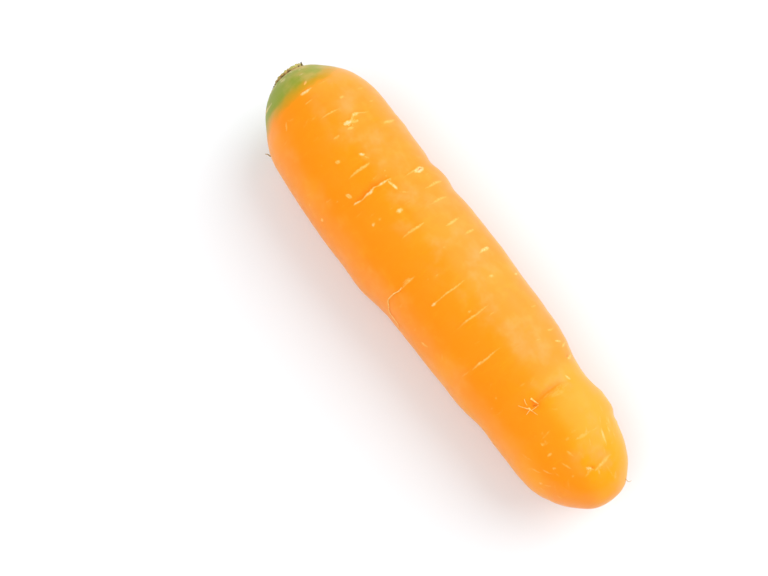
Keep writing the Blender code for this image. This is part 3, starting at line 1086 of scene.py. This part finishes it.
def stalk_material(name, fresh, pale, dried_from, dried_to):
    """Leaf stalk that turns from its own colour to tan and brown between two levels of drying and
    painted shade.
    """
    material, tree, shader = new_material(name, {"Specular IOR Level": 0.3})
    place = object_place(tree)
    fibres = cloudy(stretched(place, (0.22, 1, 1)), 3600, 3, 0.6)
    patches = cloudy(place, 700, 2)
    dry_and_shade = plus(attribute(tree, "dryness_and_shade"), waver(place, 900, 0.9))
    yellowing = plus(fibres, waver(place, 500, 0.5))
    colour = mixed(smooth_step(yellowing, 0.38, 0.62), fresh, pale)
    colour = mixed(smooth_step(dry_and_shade, dried_from, dried_to), colour, STALK_TAN)
    colour = mixed(smooth_step(dry_and_shade, dried_to, dried_to + 0.35), colour, STALK_BROWN)
    colour = mixed(times(smooth_step(patches, 0.62, 0.74), 0.6), colour, STALK_BROWN)
    roughness = plus(0.5, times(patches, 0.3))
    link_finish(tree, shader, colour, roughness, fibres, strength=0.7, depth=0.00015)
    return material


fresh_stalk = stalk_material("fresh_stalk", STALK_GREEN, STALK_YELLOW, 0.38, 0.78)
dry_stalk = stalk_material("dry_stalk", STALK_TAN, STALK_YELLOW, 0.15, 0.5)
for piece in crown_pieces:
    piece.data.materials.append(dry_stalk if piece.name == "dry_leaf_scales" else fresh_stalk)
print("stalk finishes on", len(crown_pieces), "pieces")

# %% [markdown]
# ## Hairs of root
#
# A few side roots are still there as fine dry hairs. They are curves with a round section that
# tapers to the tip, and each follows a handful of places given as millimetres along, degrees round
# and millimetres above the skin. A ray cast from the middle of the root finds the skin at each
# place, so a hair lies on the real, lumpy surface.

# %% Hairs that lie on the skin
skin_bm = bmesh.new()
skin_bm.from_mesh(root_mesh)
skin_tree = BVHTree.FromBMesh(skin_bm)
skin_bm.free()
HAIR_STEP = 0.0003
TIP_TAPER = 0.65


def on_skin(along, turn, above):
    """The place in the frame that lies so many mm above the skin."""
    side, height = core_at(along)
    start = Vector(to_frame((along, side, height)))
    outward = Vector((0.0, math.sin(math.radians(turn)), math.cos(math.radians(turn))))
    hit = skin_tree.ray_cast(start, outward)[0]
    return hit + outward * above * MM


def hair_piece(name, hairs, material):
    """One curve object with a tapered spline for each (thickness in mm, places) in hairs."""
    curve = bpy.data.curves.new(name, "CURVE")
    curve.dimensions = "3D"
    curve.bevel_depth = MM
    curve.bevel_resolution = 2
    curve.use_fill_caps = True
    for thickness, places in hairs:
        points = smooth_curve([on_skin(*spot) for spot in places], HAIR_STEP)
        spline = curve.splines.new("POLY")
        spline.points.add(len(points) - 1)
        for i, (target, point) in enumerate(zip(spline.points, points)):
            target.co = (*point, 1.0)
            target.radius = thickness / 2 * (1.0 - TIP_TAPER * i / len(points))
    curve.materials.append(material)
    piece = add_object(name, curve)
    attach(piece, "root")
    return piece


def hair_material(name, pale, dark):
    """Dry root hair, mottled along its length."""
    material, tree, shader = new_material(name, {
        "Subsurface Weight": 0.2,
        "Subsurface Radius": (1.0, 0.6, 0.3),
        "Subsurface Scale": 0.0005,
    })
    mottle = smooth_step(cloudy(object_place(tree), 1800.0, 2.0), 0.38, 0.66)
    colour = mixed(mottle, pale, dark)
    roughness = plus(0.5, times(mottle, 0.2))
    link_finish(tree, shader, colour, roughness, mottle, strength=0.4, depth=0.00005)
    return material


print("the skin's top is", round(on_skin(80.0, 0.0, 0.0).z / MM, 1), "mm up")

# %% The hairs
pale_hair = hair_material("pale_root_hair", (0.98, 0.66, 0.22, 1), (0.96, 0.46, 0.08, 1))
brown_hair = hair_material("brown_root_hair", (0.62, 0.46, 0.18, 1), (0.34, 0.22, 0.08, 1))
LOOPED_HAIR = [
    (0.36, [(77, -42, 0.05), (77.2, -46, 0.1), (76.7, -52, 0.15), (76.6, -62, 0.2), (77.9, -69, 0.2),
            (78.6, -74, 0.25), (79.8, -76, 0.3), (81.4, -77, 0.3), (82.9, -78, 0.3), (83.7, -81, 0.35),
            (83.3, -86, 0.3)]),
]
STAR_OF_HAIRS = [
    (0.60, [(124.4, -11.6, 0.1), (125.2, -10.8, 0.4), (126, -9.9, 0.45), (126.8, -8.9, 0.2)]),
    (0.30, [(125.2, -18.4, 0.1), (124.5, -18.2, 0.35), (124, -17.6, 0.4), (123.4, -17, 0.1)]),
    (0.30, [(126.8, -18.6, 0), (125.8, -20.6, 0.3), (124.8, -23.2, 0.35), (123.8, -25.6, 0.1)]),
    (0.28, [(126.8, -18.4, 0), (126.9, -20.4, 0.3), (127.1, -22.4, 0.25), (127.2, -24.2, 0.05)]),
    (0.24, [(126.9, -18.2, 0), (127.7, -17.2, 0.25), (128.6, -16.2, 0.2), (129.2, -15.4, 0.05)]),
    (0.22, [(127.1, -18, 0), (127.2, -15.4, 0.25), (127.2, -12.4, 0.3), (127.1, -9.4, 0.05)]),
    (0.58, [(126.2, -18.8, 0), (126.6, -18.5, 0.2), (127, -18.2, 0.2), (127.3, -17.8, 0)]),
]
EDGE_HAIR = [
    (0.48, [(17, -97, -0.1), (16.6, -97.5, 0.4), (15.9, -98, 0.8), (15.5, -98, 1.3),
            (15.3, -97.5, 1.7)]),
]
TIP_HAIR = [
    (0.24, [(157.4, 62, -0.2), (158.2, 66, 0.7), (158.8, 74, 1.6), (158.9, 82, 2.6)]),
]
hairs = [
    hair_piece("looped_hair", LOOPED_HAIR, pale_hair),
    hair_piece("star_of_hairs", STAR_OF_HAIRS, pale_hair),
    hair_piece("edge_hair", EDGE_HAIR, brown_hair),
    hair_piece("tip_hair", TIP_HAIR, brown_hair),
]
print([piece.name for piece in hairs])

# %% Hairs on the hidden sides
HIDDEN_HAIRS = 7
draws = random.Random(41)
hidden_hairs = []
for _ in range(HIDDEN_HAIRS):
    along = draws.uniform(30.0, 140.0)
    turn = draws.choice((-1.0, 1.0)) * draws.uniform(105.0, 145.0)
    sweep = draws.choice((-1.0, 1.0)) * draws.uniform(2.0, 5.0)
    thickness = draws.uniform(0.2, 0.32)
    hidden_hairs.append((thickness, [
        (along + draws.uniform(-0.5, 0.5), turn + sweep * step, 0.25 * min(step, 3 - step))
        for step in range(4)
    ]))
hair_piece("hidden_hairs", hidden_hairs, pale_hair)
print(len(hidden_hairs), "hairs on the far side")
